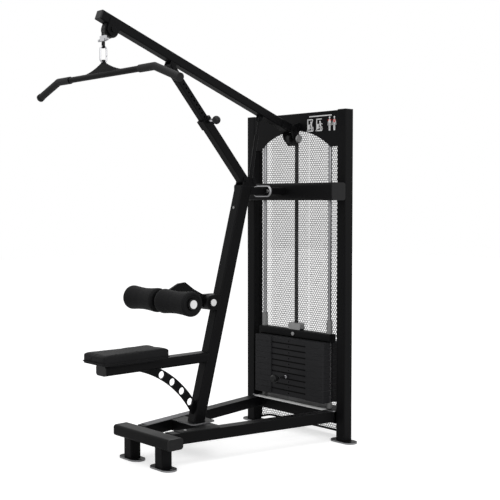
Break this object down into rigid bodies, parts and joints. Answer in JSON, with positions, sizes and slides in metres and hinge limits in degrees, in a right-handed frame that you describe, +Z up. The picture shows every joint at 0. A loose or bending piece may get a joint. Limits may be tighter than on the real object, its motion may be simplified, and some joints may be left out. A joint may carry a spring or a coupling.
{
  "type": "lat pulldown machine",
  "caption": "Selectorised lat pulldown machine: framed weight stack, leaning post with seat and thigh rollers, and an adjustable overhead boom whose belt carries a wide bar.",
  "frame": {"origin": "middle of the footprint, on the floor", "axes": "+Z up, +Y toward the weight stack, -Y toward the user, +X to the right of the user facing the stack"},
  "size_m": [1.1466, 1.422, 2.1358],
  "materials": {
    "belt": "ribbed belt",
    "black_coat": "satin powder coat",
    "chrome": "polished",
    "foam": "soft foam skin",
    "plastic_black": "moulded",
    "plastic_grey": "moulded",
    "plate_grey": "painted",
    "rod_steel": "ground",
    "rubber_black": "matte",
    "steel": "zinc plated",
    "tread_grey": "speckled grip strip",
    "vinyl": "grained upholstery"
  },
  "bodies": {
    "frame": {"foot_plates": "black_coat", "front_stand": "black_coat", "base_beams": "black_coat", "tread_strip_left": "tread_grey", "tread_strip_right": "rubber_black", "tower_uprights": "black_coat", "lower_crossbeam": "black_coat", "stack_shelf": "black_coat", "header_panel": "black_coat", "mid_crossbeam": "black_coat", "rear_guard": "black_coat", "guide_rods": "rod_steel", "stack_bumpers": "rubber_black", "plates_resting": "plate_grey", "post_link": "black_coat", "frame_bolts": "steel", "main_post": "black_coat", "post_brackets": "black_coat", "pivot_bolts": "black_coat", "seat_beam": "black_coat", "seat_base_plate": "black_coat", "seat_gusset": "black_coat", "seat_pad": "vinyl", "tube_end_caps": "plastic_black", "belt_rear_wrap": "belt", "belt_rear_drop": "belt"},
    "carriage": {"carriage_bar": "black_coat", "selector_stem": "steel", "guide_bushes": "plastic_grey", "belt_anchor": "steel", "plates_lifted": "plate_grey"},
    "selector": {"selector_pin": "chrome", "selector_knob": "plastic_black"},
    "boom": {"boom_tube": "black_coat", "boom_end_cap": "plastic_black", "boom_brackets": "black_coat", "boom_pins": "black_coat", "belt_boom_run": "belt", "belt_front_drop": "belt"},
    "strut_outer": {"strut_sleeve": "black_coat"},
    "strut_inner": {"strut_inner_tube": "black_coat"},
    "strut_lock": {"pop_pin": "chrome", "pop_pin_knob": "plastic_black"},
    "gas_outer": {"gas_cylinder": "black_coat"},
    "gas_inner": {"gas_piston_rod": "black_coat"},
    "pulley_rear": {"rear_pulley": "plastic_black"},
    "pulley_front": {"front_pulley": "plastic_black"},
    "belt_end": {"belt_clamp": "chrome", "belt_end_eye": "black_coat"},
    "hook": {"carabiner": "chrome"},
    "hook_gate": {"carabiner_gate": "chrome"},
    "bar": {"bar_hanger": "black_coat", "lat_bar": "black_coat", "bar_grips": "rubber_black"},
    "thigh_arm": {"roller_arm": "black_coat", "roller_axle": "steel"},
    "roller_left": {"roller_foam_left": "foam", "roller_hub_left": "plastic_grey"},
    "roller_right": {"roller_foam_right": "foam", "roller_hub_right": "plastic_grey"}
  },
  "joints": [
    {"name": "stack_lift", "type": "slide", "parent": "frame", "child": "carriage", "axis": [0, 0, 1], "range_m": [0, 0.62], "deforming": ["belt_rear_drop"]},
    {"name": "selector_pull", "type": "slide", "parent": "carriage", "child": "selector", "axis": [0, -1, 0], "range_m": [0, 0.12]},
    {"name": "boom_tilt", "type": "hinge", "parent": "frame", "child": "boom", "pos_m": [0, 0.555, 1.6536], "axis": [1, 0, 0], "range_deg": [0, 13.2]},
    {"name": "strut_swing", "type": "hinge", "parent": "frame", "child": "strut_outer", "pos_m": [0, 0.215, 1.3753], "axis": [1, 0, 0], "range_deg": [0, 14.41]},
    {"name": "strut_slide", "type": "slide", "parent": "strut_outer", "child": "strut_inner", "axis": [0, -0.6561, 0.7547], "range_m": [-0.10062, 0]},
    {"name": "pop_pin_pull", "type": "slide", "parent": "strut_outer", "child": "strut_lock", "axis": [1, 0, 0], "range_m": [0, 0.012], "stiffness_N_per_m": 800, "springref_m": -0.004},
    {"name": "gas_swing", "type": "hinge", "parent": "frame", "child": "gas_outer", "pos_m": [0, 0.267, 1.372], "axis": [1, 0, 0], "range_deg": [-1.19, 0.05]},
    {"name": "gas_slide", "type": "slide", "parent": "gas_outer", "child": "gas_inner", "axis": [0, 0.1932, 0.9812], "range_m": [-0.05265, 0]},
    {"name": "rear_pulley_spin", "type": "hinge", "parent": "frame", "child": "pulley_rear", "pos_m": [0, 0.575, 1.602], "axis": [1, 0, 0], "continuous": true},
    {"name": "front_pulley_spin", "type": "hinge", "parent": "boom", "child": "pulley_front", "pos_m": [0, -0.60085, 2.05202], "axis": [1, 0, 0], "continuous": true},
    {"name": "bar_pull", "type": "slide", "parent": "boom", "child": "belt_end", "axis": [0, 0, -1], "range_m": [0, 0.62], "deforming": ["belt_front_drop"]},
    {"name": "hook_swing", "type": "hinge", "parent": "belt_end", "child": "hook", "pos_m": [0, -0.63765, 1.97474], "axis": [1, 0, 0], "range_deg": [-6, 6]},
    {"name": "gate_open", "type": "hinge", "parent": "hook", "child": "hook_gate", "pos_m": [0, -0.62065, 1.93205], "axis": [1, 0, 0], "range_deg": [0, 25], "stiffness_Nm_per_rad": 0.3, "springref_deg": -5.73},
    {"name": "bar_tilt", "type": "hinge", "parent": "hook", "child": "bar", "pos_m": [0, -0.63765, 1.8987], "axis": [0, 1, 0], "range_deg": [-12, 12]},
    {"name": "arm_adjust", "type": "hinge", "parent": "frame", "child": "thigh_arm", "pos_m": [0, -0.023, 0.758], "axis": [1, 0, 0], "range_deg": [-15, 10]},
    {"name": "roller_left_spin", "type": "hinge", "parent": "thigh_arm", "child": "roller_left", "pos_m": [-0.13, -0.313, 0.785], "axis": [1, 0, 0], "continuous": true},
    {"name": "roller_right_spin", "type": "hinge", "parent": "thigh_arm", "child": "roller_right", "pos_m": [0.13, -0.313, 0.785], "axis": [1, 0, 0], "continuous": true}
  ],
  "couplings": [
    {"joint": "bar_pull", "follows": "stack_lift", "ratio": 1},
    {"joint": "rear_pulley_spin", "follows": "stack_lift", "rad_per_m": 27.174},
    {"joint": "front_pulley_spin", "follows": "stack_lift", "rad_per_m": 27.174},
    {"joint": "strut_swing", "follows": "boom_tilt", "ratio": 1.0876},
    {"joint": "strut_slide", "follows": "boom_tilt", "m_per_rad": -0.43458},
    {"joint": "gas_swing", "follows": "boom_tilt", "ratio": -0.085955},
    {"joint": "gas_slide", "follows": "boom_tilt", "m_per_rad": -0.22638}
  ]
}
